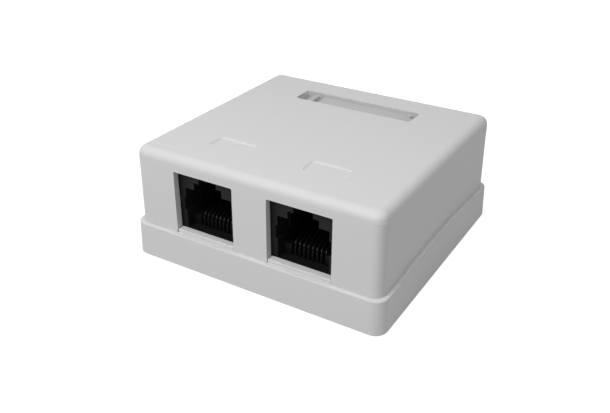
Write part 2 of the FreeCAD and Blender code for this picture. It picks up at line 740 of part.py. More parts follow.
def add_icon_trays(body):
    """A shallow tray above each jack, where an icon would go."""
    middle_y = size.tray_setback + size.tray_depth / 2 - HALF_DEPTH
    half_x, half_y = size.tray_width / 2, size.tray_depth / 2
    trays = [
        around(size.port_pitch / 2 * side, middle_y, half_x, half_y, size.tray_round) for side in SIDES.values()
    ]
    pocket(body, "icon_trays", "top", HEIGHT, trays, size.tray_sink)


def add_label_pocket(body):
    """A stepped pocket for the label strip and its window, with slots for the window's legs and hook."""
    half_y = size.label_width / 2
    low, high = LABEL_MIDDLE - half_y, LABEL_MIDDLE + half_y
    right = size.label_length / 2
    wall = size.pocket_wall
    under = rectangle(LABEL_LEFT - wall, low - wall, right + wall, high + wall)
    pad(body, "pocket_wall", "top", COVER_CEILING, [under], wall, reverse=True)
    mouth = rectangle(LABEL_LEFT, low, right, high, size.label_round)
    pocket(body, "label_pocket", "top", HEIGHT, [mouth], HEIGHT - WINDOW_BOTTOM)
    strip = rectangle(BAR_RIGHT, low, HOOK_LEFT, high)
    pocket(body, "strip_bed", "top", WINDOW_BOTTOM, [strip], WINDOW_BOTTOM - STRIP_FLOOR)
    edge = size.window_gap
    slots = [
        rectangle(LABEL_LEFT + edge, low + edge, BAR_LEFT, high - edge),
        rectangle(BAR_RIGHT, low + edge, LEG_RIGHT, high - edge),
        rectangle(right - size.pry_slot, LABEL_MIDDLE + half_y / 3, right - edge, high - edge),
    ]
    pocket(body, "window_slots", "top", WINDOW_BOTTOM, slots, HEIGHT)


def add_rear_notch(body):
    """The cable notch in the rear wall, above the notch in the base's rim."""
    half = size.notch_width / 2
    low, high = size.seat_height - size.cover_wall, size.seat_height + size.notch_height
    notch = [(-half, low), (half, low), (half, high, size.notch_round), (-half, high, size.notch_round)]
    pocket(body, "rear_notch", "front", HALF_DEPTH, [notch], size.rim_step + size.cover_wall * 2, reverse=True)


def add_barbs(body):
    """Small wedges on the skirt, in the rim's catches when the cover is on."""
    root, tip = SKIRT_HALF_WIDTH - size.barb_root, SKIRT_HALF_WIDTH + size.barb_reach
    low, high = BARB_MIDDLE - size.barb_height / 2, BARB_MIDDLE + size.barb_height / 2
    profiles = [
        [
            (root * side, low),
            (SKIRT_HALF_WIDTH * side, low),
            (tip * side, BARB_MIDDLE),
            (SKIRT_HALF_WIDTH * side, high),
            (root * side, high),
        ]
        for side in SIDES.values()
    ]
    barbs = pad(body, "barbs", "front", size.barb_spacing / 2, profiles, size.barb_length, symmetric=True)
    mirror(body, "rear_barbs", [barbs], "XZ_Plane")


# ---------------------------------------------------------------- label window and strip


def make_label_window():
    """A clear plate with two legs at its left end and a hook at its right end."""
    body = new_body("label_window")
    gap = size.window_gap
    half_x, half_y = size.label_length / 2 - gap, size.label_width / 2 - gap
    plate = rectangle(
        -half_x, LABEL_MIDDLE - half_y, half_x, LABEL_MIDDLE + half_y, size.label_round - gap
    )
    pad(body, "plate", "top", WINDOW_BOTTOM, [plate], size.window_thickness)
    leg_half = half_y - gap * 2
    low, high = LABEL_MIDDLE - leg_half, LABEL_MIDDLE + leg_half
    legs = [
        rectangle(LABEL_LEFT + gap * 2, low, BAR_LEFT - gap, high),
        rectangle(BAR_RIGHT + gap, low, LEG_RIGHT - gap, high),
        rectangle(
            size.label_length / 2 - size.pry_slot + gap,
            LABEL_MIDDLE + size.label_width / 6 + gap,
            half_x - gap,
            high,
        ),
    ]
    drop = WINDOW_BOTTOM - (COVER_CEILING - size.pocket_wall)
    pad(body, "legs", "top", WINDOW_BOTTOM, legs, drop, reverse=True)
    return body


def make_label_strip():
    """The paper strip that lies in the pocket under the window."""
    body = new_body("label_strip")
    gap = size.window_gap
    half_y = size.label_width / 2 - gap
    strip = rectangle(LEG_RIGHT + gap, LABEL_MIDDLE - half_y, HOOK_LEFT - gap, LABEL_MIDDLE + half_y)
    pad(body, "sheet", "top", STRIP_FLOOR, [strip], size.strip_thickness)
    return body


# ---------------------------------------------------------------- circuit board and its screws


def contact_offset(number):
    """How far one contact stands from the middle of its jack."""
    return size.contact_pitch * number - size.contact_pitch * (size.contact_count - 1) / 2


def tail_row(number):
    """Tails stand in two rows, turn and turn about."""
    return size.block_setback + size.tail_inset + size.tail_stagger * (number % 2)


def clip_offset(number):
    return size.clip_pitch * number - size.clip_pitch * (size.clip_count - 1) / 2


def whole(count):
    """A count from the sheet as an integer for a loop."""
    return int(round(count.number))


def make_circuit_board():
    """The board: notched at the wall screws and drilled for screws, pegs, contact tails and clips."""
    body = new_body("circuit_board")
    outline = rectangle(-BOARD_HALF, BOARD_FRONT, BOARD_HALF, BOARD_REAR, size.board_corner)
    pad(body, "board", "top", BOARD_BOTTOM, [outline], size.board_thickness)
    notches = both_sides(*WALL_HOLE, size.board_notch_radius)
    pocket(body, "notches", "top", BOARD_TOP, [], size.board_thickness, circles=notches)
    radius = size.screw_shank_radius + size.screw_hole_fit
    screws = [(0, place_y, radius) for place_y in SCREW_PLACES.values()]
    pocket(body, "screw_holes", "top", BOARD_TOP, [], size.board_thickness, circles=screws)
    peg_y, peg_radius = JACK_FACE + size.peg_setback, size.peg_radius + size.peg_fit
    for name, side in SIDES.items():
        jack_x, block_x = size.port_pitch / 2 * side, BLOCK_X * side
        pegs = [(jack_x + size.peg_spacing / 2 * way, peg_y, peg_radius) for way in SIDES.values()]
        half_y = size.contact_thickness / 2 + size.tail_fit
        tails = [
            around(
                jack_x + contact_offset(number),
                JACK_FACE + tail_row(number),
                size.contact_width / 2 + size.tail_fit,
                half_y,
            )
            for number in range(whole(size.contact_count))
        ]
        pocket(body, f"{name}_jack_holes", "top", BOARD_TOP, tails, size.board_thickness, circles=pegs)
        half_x, half_y = size.clip_tail_width / 2 + size.tail_fit, size.clip_thickness / 2 + size.tail_fit
        first = around(block_x + clip_offset(0), BLOCK_Y, half_x, half_y)
        hole = pocket(body, f"{name}_clip_hole", "top", BOARD_TOP, [first], size.board_thickness)
        repeat(body, f"{name}_clip_holes", [hole], "X_Axis", CLIP_SPAN, size.clip_count)
    return body


def make_board_screw(name, place_y):
    """A pan head screw, turned about its own axis, with a cross recess."""
    body = new_body(name)
    sketch = new_sketch(body, "profile", "side", 0)
    profile = [
        (0, -size.screw_length),
        (size.screw_shank_radius / 3, -size.screw_length),
        (size.screw_shank_radius, -size.screw_length + size.screw_shank_radius),
        (size.screw_shank_radius, 0),
        (size.screw_head_radius, 0),
        (size.screw_head_radius, size.screw_head_height),
        (0, size.screw_head_height),
    ]
    draw_chain(sketch, profile)
    turned = body.newObject("PartDesign::Revolution", f"{name}_turned")
    turned.Profile = sketch
    turned.ReferenceAxis = (origin_feature(body, "Z_Axis"), [""])
    settled(body, turned)
    arm, half = size.recess_width / 2, size.recess_length / 2
    arms = [rectangle(-half, -arm, half, arm), rectangle(-arm, -half, arm, half)]
    for number, chain in enumerate(arms, start=1):
        pocket(body, f"recess_{number}", "top", size.screw_head_height, [chain], size.recess_depth)
    place(body, 0, place_y, BOARD_TOP)
    return body


# ---------------------------------------------------------------- jacks


def make_jack_housing(name, middle):
    """The black housing: a stepped plug cavity with a latch slot, open at the rear for the contact carrier."""
    body = new_body(name)
    half, plug = size.jack_width / 2, size.plug_width / 2
    pad(body, "block", "front", 0, [rectangle(-half, 0, half, size.jack_height)], size.jack_depth, reverse=True)
    shoulder, latch = size.shoulder_width / 2, size.latch_width / 2
    shoulder_top = size.plug_top + size.shoulder_rise
    latch_top = shoulder_top + size.latch_rise
    steps = [
        (plug, size.cavity_floor),
        (plug, size.plug_top),
        (shoulder, size.plug_top),
        (shoulder, shoulder_top),
        (latch, shoulder_top),
        (latch, latch_top),
    ]
    mouth = steps + [(-x, z) for x, z in reversed(steps)]
    pocket(body, "plug_cavity", "front", 0, [mouth], size.jack_depth - size.jack_rear_wall)
    ear_middle = size.ear_bottom + size.ear_height / 2
    ears = around(0, ear_middle, plug + size.ear_reach, size.ear_height / 2)
    pocket(body, "side_notches", "front", 0, [ears], size.ear_depth)
    opening = rectangle(-plug, -size.cavity_floor, plug, size.block_top + size.carrier_fit)
    depth = size.jack_depth - size.block_setback
    pocket(body, "rear_opening", "front", size.jack_depth, [opening], depth, reverse=True)
    pegs = [(size.peg_spacing / 2 * side, size.peg_setback, size.peg_radius) for side in SIDES.values()]
    pad(body, "pegs", "top", 0, [], size.peg_length, reverse=True, circles=pegs)
    place(body, middle, JACK_FACE, BOARD_TOP)
    return body


def make_contact_carrier(name, middle):
    """The carrier: a comb at the front, a slab over the contacts and a rear block that their tails pass through."""
    body = new_body(name)
    low = size.cavity_floor + size.carrier_fit
    step = size.block_setback + size.carrier_fit
    comb_rear = size.comb_setback + size.comb_depth
    profile = [
        (size.comb_setback, low),
        (step, low),
        (step, 0),
        (size.jack_depth, 0),
        (size.jack_depth, size.block_top),
        (size.block_setback, size.block_top),
        (size.block_setback, size.slab_top),
        (comb_rear, size.slab_top),
        (comb_rear, size.comb_top, size.comb_round),
        (size.comb_setback, size.comb_top, size.comb_round),
    ]
    width = size.plug_width - size.carrier_fit * 2
    pad(body, "block", "side", 0, [profile], width, symmetric=True)
    half = size.contact_width / 2 + size.contact_fit
    first = contact_offset(0)
    slot_rear = size.comb_setback + size.contact_setback + size.contact_thickness / 2 + size.slot_room
    groove_top = size.contact_run + size.contact_thickness / 2 + size.contact_fit
    guide_bottom = size.block_top - size.tip_drop - size.guide_room
    slots = {
        "comb_slot": (size.comb_setback, slot_rear, Size(0), size.comb_top),
        "groove": (size.comb_setback, tail_row(1) + half, Size(0), groove_top),
        "guide": (size.block_setback, size.block_setback + size.guide_depth, guide_bottom, size.block_top),
    }
    span = size.contact_pitch * (size.contact_count - 1)
    for title, (front, rear, bottom, top) in slots.items():
        cut = pocket(body, title, "top", top, [rectangle(first - half, front, first + half, rear)], top - bottom)
        repeat(body, f"{title}s", [cut], "X_Axis", span, size.contact_count)
    place(body, middle, JACK_FACE, BOARD_TOP)
    return body


def make_contact(name, middle, number):
    """One spring contact: a strip from its tail, forward under the comb, up a slot and back over it at a slant."""
    body = new_body(name)
    row = tail_row(number)
    section = new_sketch(body, "section", "top", -size.tail_length)
    draw_chain(section, around(0, row, size.contact_width / 2, size.contact_thickness / 2))
    route = new_sketch(body, "route", "side", 0)
    front = size.comb_setback + size.contact_setback
    corners = [
        (row, -size.tail_length),
        (row, size.contact_run),
        (front, size.contact_run),
        (front, size.comb_top + size.contact_rise),
        (size.block_setback + size.tip_inset, size.block_top - size.tip_drop),
    ]
    draw_chain(route, corners, closed=False)
    strip = body.newObject("PartDesign::AdditivePipe", f"{name}_strip")
    strip.Profile = section
    strip.Spine = route
    strip.Transition = "Right corner"
    settled(body, strip)
    place(body, middle + contact_offset(number), JACK_FACE, BOARD_TOP)
    return body


# ---------------------------------------------------------------- punch-down blocks


def make_idc_block(name, middle):
    """A row of pointed teeth with a wire slot between each two, and a pocket for a clip across each slot."""
    body = new_body(name)
    pad(body, "block", "top", 0, [around(0, 0, IDC_WIDTH / 2, size.idc_depth / 2)], size.idc_height)
    first = clip_offset(0)
    half, mouth = size.wire_slot / 2, size.wire_mouth / 2
    floor, neck = size.idc_height - size.slot_length, size.idc_height - size.mouth_depth
    slot = [
        (first - half, floor),
        (first + half, floor),
        (first + half, neck),
        (first + mouth, size.idc_height),
        (first - mouth, size.idc_height),
        (first - half, neck),
    ]
    cut = pocket(body, "wire_slot", "front", 0, [slot], size.idc_depth * 2, symmetric=True)
    repeat(body, "wire_slots", [cut], "X_Axis", CLIP_SPAN, size.clip_count)
    half_y = size.clip_thickness / 2 + size.clip_fit
    levels = {
        "clip_pocket": (size.clip_width, size.idc_height, size.clip_floor),
        "tail_hole": (size.clip_tail_width, size.clip_floor, Size(0)),
    }
    for title, (width, top, bottom) in levels.items():
        chain = around(first, 0, width / 2 + size.clip_fit, half_y)
        cut = pocket(body, title, "top", top, [chain], top - bottom)
        repeat(body, f"{title}s", [cut], "X_Axis", CLIP_SPAN, size.clip_count)
    place(body, middle, BLOCK_Y, BOARD_TOP)
    return body


def make_idc_clip(name, middle, number):
    """One metal clip: a flat plate with a slit that grips the wire, and a solder tail."""
    body = new_body(name)
    half, tail = size.clip_width / 2, size.clip_tail_width / 2
    slit, mouth = size.clip_slit / 2, size.clip_mouth / 2
    top = size.idc_height - size.clip_sink
    right = [
        (tail, -size.tail_length),
        (tail, size.clip_floor),
        (half, size.clip_floor),
        (half, top),
        (mouth, top),
        (slit, top - size.clip_mouth_depth),
        (slit, top - size.clip_slit_length),
    ]
    outline = right + [(-x, z) for x, z in reversed(right)]
    pad(body, "plate", "front", 0, [outline], size.clip_thickness, symmetric=True)
    place(body, middle + clip_offset(number), BLOCK_Y, BOARD_TOP)
    return body


# ---------------------------------------------------------------- the whole box


def make_all():
    pieces = [make_base(), make_cover(), make_label_window(), make_label_strip(), make_circuit_board()]
    pieces += [make_board_screw(name, place_y) for name, place_y in SCREW_PLACES.items()]
    for name, side in SIDES.items():
        jack_x, block_x = size.port_pitch / 2 * side, BLOCK_X * side
        pieces.append(make_jack_housing(f"{name}_jack_housing", jack_x))
        pieces.append(make_contact_carrier(f"{name}_contact_carrier", jack_x))
        pieces.append(make_idc_block(f"{name}_idc_block", block_x))
        for number in range(whole(size.contact_count)):
            pieces.append(make_contact(f"{name}_contact_{number + 1}", jack_x, number))
        for number in range(whole(size.clip_count)):
            pieces.append(make_idc_clip(f"{name}_idc_clip_{number + 1}", block_x, number))
    return pieces


def check_and_write(pieces):
    """Stops on a failed object or an invalid solid, then writes one STEP file for each piece."""
    doc.recompute()
    for item in doc.Objects:
        if not set(item.State).isdisjoint({"Invalid", "Error"}):
            raise RuntimeError(f"{item.Name} has failed: {item.State}")
    for piece in pieces:
        if piece.Shape.isNull() or not piece.Shape.isValid() or not piece.Shape.Solids:
            raise RuntimeError(f"{piece.Label} is not a valid solid")
    os.makedirs("parts", exist_ok=True)
    for piece in pieces:
        piece.Shape.exportStep(f"parts/{piece.Label}.step")
        print(f"{piece.Label}: {len(piece.Shape.Solids)} solid, {piece.Shape.Volume:.1f} mm3")


check_and_write(make_all())
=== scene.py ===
# %% [markdown]
# # A surface mount jack box
#
# The object is a small white box that is screwed to a wall or a desk. Two jacks look out of its front, and
# a clear window in its top covers a paper label. Inside are a circuit board, two jack housings with eight
# spring contacts each, and two rows of metal clips that the cable's wires are pushed into.
#
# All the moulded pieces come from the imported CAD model, which is loaded here as a fixed frame. Its shapes
# are exact, so this script gives them finishes, and models only what a CAD solid leaves plain: the round
# spring wires in the jacks, the copper tracks on the board, and the slopes of two shallow trays in the top.

# %% Load the frame
import math

import bpy
import numpy as np
from mathutils import Matrix, Vector


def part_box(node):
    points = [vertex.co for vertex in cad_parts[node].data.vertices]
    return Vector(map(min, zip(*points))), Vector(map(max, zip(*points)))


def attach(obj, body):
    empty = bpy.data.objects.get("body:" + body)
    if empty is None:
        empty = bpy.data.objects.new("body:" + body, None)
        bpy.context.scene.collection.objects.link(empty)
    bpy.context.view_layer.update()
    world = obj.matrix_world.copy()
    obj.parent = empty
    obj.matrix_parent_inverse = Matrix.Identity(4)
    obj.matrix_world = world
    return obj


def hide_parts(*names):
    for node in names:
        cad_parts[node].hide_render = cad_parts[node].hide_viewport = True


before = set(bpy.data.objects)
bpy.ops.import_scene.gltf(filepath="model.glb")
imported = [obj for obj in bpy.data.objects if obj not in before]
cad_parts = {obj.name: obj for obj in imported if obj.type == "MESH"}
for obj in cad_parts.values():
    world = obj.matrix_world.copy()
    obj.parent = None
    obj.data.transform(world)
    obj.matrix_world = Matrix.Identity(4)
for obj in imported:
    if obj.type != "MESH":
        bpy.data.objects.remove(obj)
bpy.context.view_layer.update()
MM = 0.001

# %% [markdown]
# ## Where things are
#
# New pieces take their places from the CAD boxes, so that they follow when the CAD changes. The jack's face
# and the top of the board are the two levels that everything inside a jack is measured from.

# %% Measure the frame
SIDES = ("left", "right")
BOARD_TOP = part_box("circuit_board")[1].z
JACK_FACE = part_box("left_jack_housing")[0].y
JACK_MIDDLE = {side: sum(corner.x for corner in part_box(f"{side}_jack_housing")) / 2 for side in SIDES}
print("board top", round(BOARD_TOP, 5), "jack face", round(JACK_FACE, 5), "jack middles", JACK_MIDDLE)

# %% [markdown]
# ## Nodes by name
#
# A finish is a small tree of shader nodes. One helper adds a node, sets its properties and fills its
# sockets. Where the value for a socket is itself a socket, the two are joined, so a chain of nodes reads
# like a sum.

# %% A helper that adds nodes


def add(tree, kind, sockets=None, **settings):
    """Adds a node. Settings are its properties, and sockets are filled or joined by name or number."""
    made = tree.nodes.new(kind)
    for name, value in settings.items():
        setattr(made, name, value)
    for name, value in (sockets or {}).items():
        if isinstance(value, bpy.types.NodeSocket):
            tree.links.new(value, made.inputs[name])
        else:
            made.inputs[name].default_value = value
    return made


def noise(tree, place, scale, detail):
    """Noise between 0 and 1 at a place, about 1 / scale metres wide."""
    return add(tree, "ShaderNodeTexNoise", {"Vector": place, "Scale": scale, "Detail": detail}).outputs["Fac"]


def reckon(tree, operation, *values):
    """One Math node on one, two or three numbers or sockets."""
    return add(tree, "ShaderNodeMath", dict(enumerate(values)), operation=operation).outputs[0]


def new_group(name, inputs, outputs):
    """An empty node group: {title: number or colour} goes in, and {title: kind of socket} comes out."""
    group = bpy.data.node_groups.new(name, "ShaderNodeTree")
    for title, value in inputs.items():
        kind = "NodeSocketColor" if isinstance(value, tuple) else "NodeSocketFloat"
        socket = group.interface.new_socket(name=title, in_out="INPUT", socket_type=kind)
        socket.default_value = value
    for title, kind in outputs.items():
        group.interface.new_socket(name=title, in_out="OUTPUT", socket_type=kind)
    return group, group.nodes.new("NodeGroupInput").outputs, group.nodes.new("NodeGroupOutput").inputs


def grey(level):
    """A neutral colour of one linear level."""
    return (level, level, level, 1.0)


# %% [markdown]
# ## The moulded finish
#
# Injection moulded plastic is never quite one tone. The steel of the mould leaves a fine even grain, and
# the wall's thickness and the flow of the plastic leave a slow drift in tone and gloss. Both are noise on
# Object coordinates, at two very different scales, and every opaque plastic here shares them. So they go
# in one node group, which each material uses with its own colour, drift, grain size and gloss.

# %% Build the moulded finish group


def make_moulded_finish():
    """A node group: slow drift in colour and gloss, and a fine grain for bump.

    colour = Colour * (1 + Drift * (n1 - 0.5)), roughness = Roughness + Gloss drift * (n1 - 0.5), height = n2,
    where n1 is noise some 2 cm wide and n2 is noise as fine as Grain.
    """
    group, given, result = new_group(
        "moulded_finish",
        {"Colour": grey(0.7), "Drift": 0.03, "Roughness": 0.5, "Gloss drift": 0.08, "Grain": 4000.0},
        {"Colour": "NodeSocketColor", "Roughness": "NodeSocketFloat", "Height": "NodeSocketFloat"},
    )
    place = add(group, "ShaderNodeTexCoord").outputs["Object"]
    slow = noise(group, place, 45.0, 2.0)
    fine = noise(group, place, given["Grain"], 3.0)
    swing = reckon(group, "SUBTRACT", slow, 0.5)
    tone = reckon(group, "MULTIPLY_ADD", swing, given["Drift"], 1.0)
    tint = {0: given["Colour"], "Scale": tone}
    tinted = add(group, "ShaderNodeVectorMath", tint, operation="SCALE").outputs[0]
    gloss = reckon(group, "MULTIPLY_ADD", swing, given["Gloss drift"], given["Roughness"])
    for value, title in ((tinted, "Colour"), (gloss, "Roughness"), (fine, "Height")):
        group.links.new(value, result[title])
    return group


moulded_finish = make_moulded_finish()
print("group", moulded_finish.name, "with", len(moulded_finish.nodes), "nodes")

# %% [markdown]
# ## Five moulded plastics
#
# The cover and the base are the same white plastic. The base's colour is set a hair paler, as painted light
# that brightens the base's front.
# The jacks and their carriers are black, with a coarser grain, and the terminal blocks are ivory. The shader
# stays in each material, and the group only feeds it.

# %% Materials that use the group
GRAIN_STRENGTH = 0.25


def moulded(name, colour, roughness, drift=0.03, grain=4000.0, depth=0.004, specular=0.5):
    """A Principled material fed by the moulded finish. Depth is the grain's height in millimetres."""
    material = bpy.data.materials.new(name)
    material.use_nodes = True
    tree = material.node_tree
    shader = tree.nodes["Principled BSDF"]
    shader.inputs["Specular IOR Level"].default_value = specular
    finish = tree.nodes.new("ShaderNodeGroup")
    finish.node_tree = moulded_finish
    for title, value in {"Colour": colour, "Drift": drift, "Roughness": roughness, "Grain": grain}.items():
        finish.inputs[title].default_value = value
    grain_height = {"Strength": GRAIN_STRENGTH, "Distance": depth * MM, "Height": finish.outputs["Height"]}
    bump = add(tree, "ShaderNodeBump", grain_height)
    tree.links.new(finish.outputs["Colour"], shader.inputs["Base Color"])
    tree.links.new(finish.outputs["Roughness"], shader.inputs["Roughness"])
    tree.links.new(bump.outputs["Normal"], shader.inputs["Normal"])
    return material


cover_plastic = moulded("cover_plastic", grey(0.66), 0.5, specular=0.35)
# The base's grey is a hair paler than the cover's. This is painted light, which brightens the base's front.
base_plastic = moulded("base_plastic", grey(0.67), 0.52, specular=0.35)
jack_plastic = moulded("jack_plastic", grey(0.006), 0.55, drift=0.3, grain=3000.0, depth=0.01, specular=0.15)
carrier_plastic = moulded(
    "carrier_plastic", grey(0.004), 0.45, drift=0.3, grain=3500.0, depth=0.008, specular=0.08
)
terminal_plastic = moulded("terminal_plastic", (0.62, 0.61, 0.57, 1.0), 0.4)
print("moulded plastics:", [m.name for m in bpy.data.materials])

# %% [markdown]
# ## The clear window and the paper under it
#
# The window is a thin plate of clear acrylic. A glass shader bends light at both faces and throws dark
# shadows on the paper, which a plate this thin doesn't do. So the window is a film: a glossy Principled
# shader with a low alpha, which lets most of what lies under it through. The plate is a little scuffed, so
# alpha and roughness change with fine noise. The paper is matt, with fibres.

# %% The window's and the paper's finishes


def make_clear_window():
    """Clear acrylic as a thin film: alpha = 0.18 + 0.08 * noise, and roughness = 0.1 + 0.1 * noise."""
    material = bpy.data.materials.new("clear_window")
    material.use_nodes = True
    tree = material.node_tree
    shader = tree.nodes["Principled BSDF"]
    for title, value in {"Base Color": grey(0.62), "IOR": 1.49}.items():
        shader.inputs[title].default_value = value
    place = add(tree, "ShaderNodeTexCoord").outputs["Object"]
    scuffs = noise(tree, place, 900.0, 4.0)
    rough = reckon(tree, "MULTIPLY_ADD", scuffs, 0.1, 0.1)
    alpha = reckon(tree, "MULTIPLY_ADD", scuffs, 0.08, 0.18)
    tree.links.new(rough, shader.inputs["Roughness"])
    tree.links.new(alpha, shader.inputs["Alpha"])
    return material


def make_strip_paper():
    """Card: a pale tone with fine fibres in colour and height."""
    material = bpy.data.materials.new("strip_paper")
    material.use_nodes = True
    tree = material.node_tree
    shader = tree.nodes["Principled BSDF"]
    shader.inputs["Roughness"].default_value = 0.85
    place = add(tree, "ShaderNodeTexCoord").outputs["Object"]
    stretched = add(tree, "ShaderNodeMapping", {"Vector": place, "Scale": (1.0, 4.0, 4.0)}).outputs[0]
    fibres = noise(tree, stretched, 2500.0, 5.0)
    ramp = add(tree, "ShaderNodeValToRGB", {"Fac": fibres})
    ramp.color_ramp.elements[0].color = grey(0.60)
    ramp.color_ramp.elements[1].color = grey(0.70)
    bump = add(tree, "ShaderNodeBump", {"Strength": 0.3, "Distance": 0.01 * MM, "Height": fibres})
    tree.links.new(ramp.outputs["Color"], shader.inputs["Base Color"])
    tree.links.new(bump.outputs["Normal"], shader.inputs["Normal"])
    return material


clear_window = make_clear_window()
strip_paper = make_strip_paper()
print("made", clear_window.name, "and", strip_paper.name)

# %% [markdown]
# ## Metals
#
# The spring wires are plated bronze, the clips are tinned, and the two board screws are zinc plated.
# Plating shows as small changes of gloss and a little tarnish, so one helper makes all three with their own
# colour and scale. The wires' colour is toned well down from bare bronze. This is painted shade: deep in
# their black housings little light reaches them, and they look nearly black.

# %% Metal finishes


def metal(name, bright, dull, roughness, scale):
    """Metallic: noise takes the colour from bright to dull, and adds up to 0.15 to the roughness."""
    material = bpy.data.materials.new(name)
    material.use_nodes = True
    tree = material.node_tree
    shader = tree.nodes["Principled BSDF"]
    shader.inputs["Metallic"].default_value = 1.0
    place = add(tree, "ShaderNodeTexCoord").outputs["Object"]
    tarnish = noise(tree, place, scale, 4.0)
    ramp = add(tree, "ShaderNodeValToRGB", {"Fac": tarnish})
    ramp.color_ramp.elements[0].position, ramp.color_ramp.elements[0].color = 0.3, bright
    ramp.color_ramp.elements[1].position, ramp.color_ramp.elements[1].color = 0.75, dull
    rough = reckon(tree, "MULTIPLY_ADD", tarnish, 0.15, roughness)
    tree.links.new(ramp.outputs["Color"], shader.inputs["Base Color"])
    tree.links.new(rough, shader.inputs["Roughness"])
    return material


# The wires' very dark bright and dull colours are painted shade for the dark inside of the jacks.
contact_wire = metal("contact_wire", (0.055, 0.052, 0.047, 1.0), (0.025, 0.024, 0.022, 1.0), 0.28, 1800.0)
clip_metal = metal("clip_metal", (0.70, 0.69, 0.67, 1.0), (0.48, 0.47, 0.45, 1.0), 0.28, 1500.0)
screw_steel = metal("screw_steel", (0.62, 0.62, 0.60, 1.0), (0.40, 0.40, 0.38, 1.0), 0.25, 1200.0)
print("metals:", contact_wire.name, clip_metal.name, screw_steel.name)

# %% [markdown]
# ## The circuit board
#
# The board is glass laminate under a green solder mask. The weave of the glass shows faintly through the
# mask, as two crossed waves at right angles.

# %% The board's finish


def make_board_laminate():
    """Fairly glossy green mask: colour and height follow the product of waves along X and Y, 0.8 mm apart."""
    material = bpy.data.materials.new("board_laminate")
    material.use_nodes = True
    tree = material.node_tree
    shader = tree.nodes["Principled BSDF"]
    shader.inputs["Roughness"].default_value = 0.32
    place = add(tree, "ShaderNodeTexCoord").outputs["Object"]
    waves = [
        add(tree, "ShaderNodeTexWave", {"Vector": place, "Scale": 400.0}, bands_direction=way).outputs["Fac"]
        for way in ("X", "Y")
    ]
    weave = reckon(tree, "MULTIPLY", *waves)
    ramp = add(tree, "ShaderNodeValToRGB", {"Fac": weave})
    ramp.color_ramp.elements[0].color = (0.012, 0.075, 0.030, 1.0)
    ramp.color_ramp.elements[1].color = (0.018, 0.105, 0.042, 1.0)
    bump = add(tree, "ShaderNodeBump", {"Strength": 0.15, "Distance": 0.02 * MM, "Height": weave})
    tree.links.new(ramp.outputs["Color"], shader.inputs["Base Color"])
    tree.links.new(bump.outputs["Normal"], shader.inputs["Normal"])
    return material


board_laminate = make_board_laminate()
print("made", board_laminate.name)

# %% [markdown]
# ## Finishes on the CAD pieces
#
# Every CAD node keeps its mesh. Its material slot simply gets the finish made above.

# %% Dress the CAD nodes
FINISHES = {
    "base": base_plastic,
    "cover": cover_plastic,
    "label_window": clear_window,
    "label_strip": strip_paper,
    "circuit_board": board_laminate,
    "board_screw": screw_steel,
    "jack_housing": jack_plastic,
    "contact_carrier": carrier_plastic,
    "idc_block": terminal_plastic,
    "idc_clip": clip_metal,
    "_contact_": contact_wire,
}


def dress(name, node):
    """Puts the first finish whose key is in the node's name into all of the node's material slots."""
    finish = next(made for key, made in FINISHES.items() if key in name)
    if not node.data.materials:
        node.data.materials.append(finish)
    for number in range(len(node.data.materials)):
        node.data.materials[number] = finish
    return finish.name


dressed = {name: dress(name, node) for name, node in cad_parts.items()}
print("dressed", len(dressed), "CAD nodes")

# %% [markdown]
# ## Sweeping a section along a path
#
# A bent wire and a copper track are the same kind of shape: a small closed section carried along a path.
# Blender's curve bevel could do it, but it turns the section at will, and here the section has to stay
# level. So the sweep is worked out with numpy, for all rings at once.

# %% Helpers for paths and sweeps
UP = np.array([0.0, 0.0, 1.0])
SIDEWAYS = np.array([1.0, 0.0, 0.0])
CREASE = math.radians(50)


def rounded_path(corners, radius, steps=7):
    """A path through corners, each inner one replaced by an arc.

    With unit vectors u and v from a corner P to its neighbours and q the angle between them, the arc has its
    middle at P + r / sin(q / 2) * (u + v) / |u + v|. Its points come from turning one end's spoke a into the
    other's, b, by (sin((1 - t) w) a + sin(t w) b) / sin(w), where w = pi - q.
    """
    corners = np.asarray(corners, float)
    before, here, after = corners[:-2], corners[1:-1], corners[2:]
    u = (before - here) / np.linalg.norm(before - here, axis=1, keepdims=True)
    v = (after - here) / np.linalg.norm(after - here, axis=1, keepdims=True)
    between = np.arccos(np.clip((u * v).sum(1), -1, 1))[:, None]
    bisector = (u + v) / np.linalg.norm(u + v, axis=1, keepdims=True)
    middle = here + bisector * radius / np.sin(between / 2)
    reach = radius / np.tan(between / 2)
    first, last = here + u * reach - middle, here + v * reach - middle
    turn = np.pi - between
    t = np.linspace(0, 1, steps)[None, :, None]
    weight_first = np.sin((1 - t) * turn[:, None]) / np.sin(turn[:, None])
    weight_last = np.sin(t * turn[:, None]) / np.sin(turn[:, None])
    arcs = middle[:, None] + weight_first * first[:, None] + weight_last * last[:, None]
    return np.vstack([corners[:1], arcs.reshape(-1, corners.shape[1]), corners[-1:]])


def sweep(path, section, level):
    """Rings of a section (k, 2) along a path (m, 3): C(s) + a * side(s) + b * over(s).

    side = level x tangent and over = tangent x side. Where the path turns, side is lengthened by 1 / cos(half
    the turn), so that the section keeps its width on both runs.
    """
    runs = np.diff(path, axis=0)
    runs /= np.linalg.norm(runs, axis=1, keepdims=True)
    tangent = np.vstack([runs[:1], runs[:-1] + runs[1:], runs[-1:]])
    tangent /= np.linalg.norm(tangent, axis=1, keepdims=True)
    side = np.cross(level, tangent)
    side /= np.linalg.norm(side, axis=1, keepdims=True)
    over = np.cross(tangent, side)
    half_turn = (tangent * np.vstack([runs[:1], runs])).sum(1)[:, None, None]
    across = section[None, :, :1] * side[:, None] / half_turn
    return path[:, None] + across + section[None, :, 1:] * over[:, None]


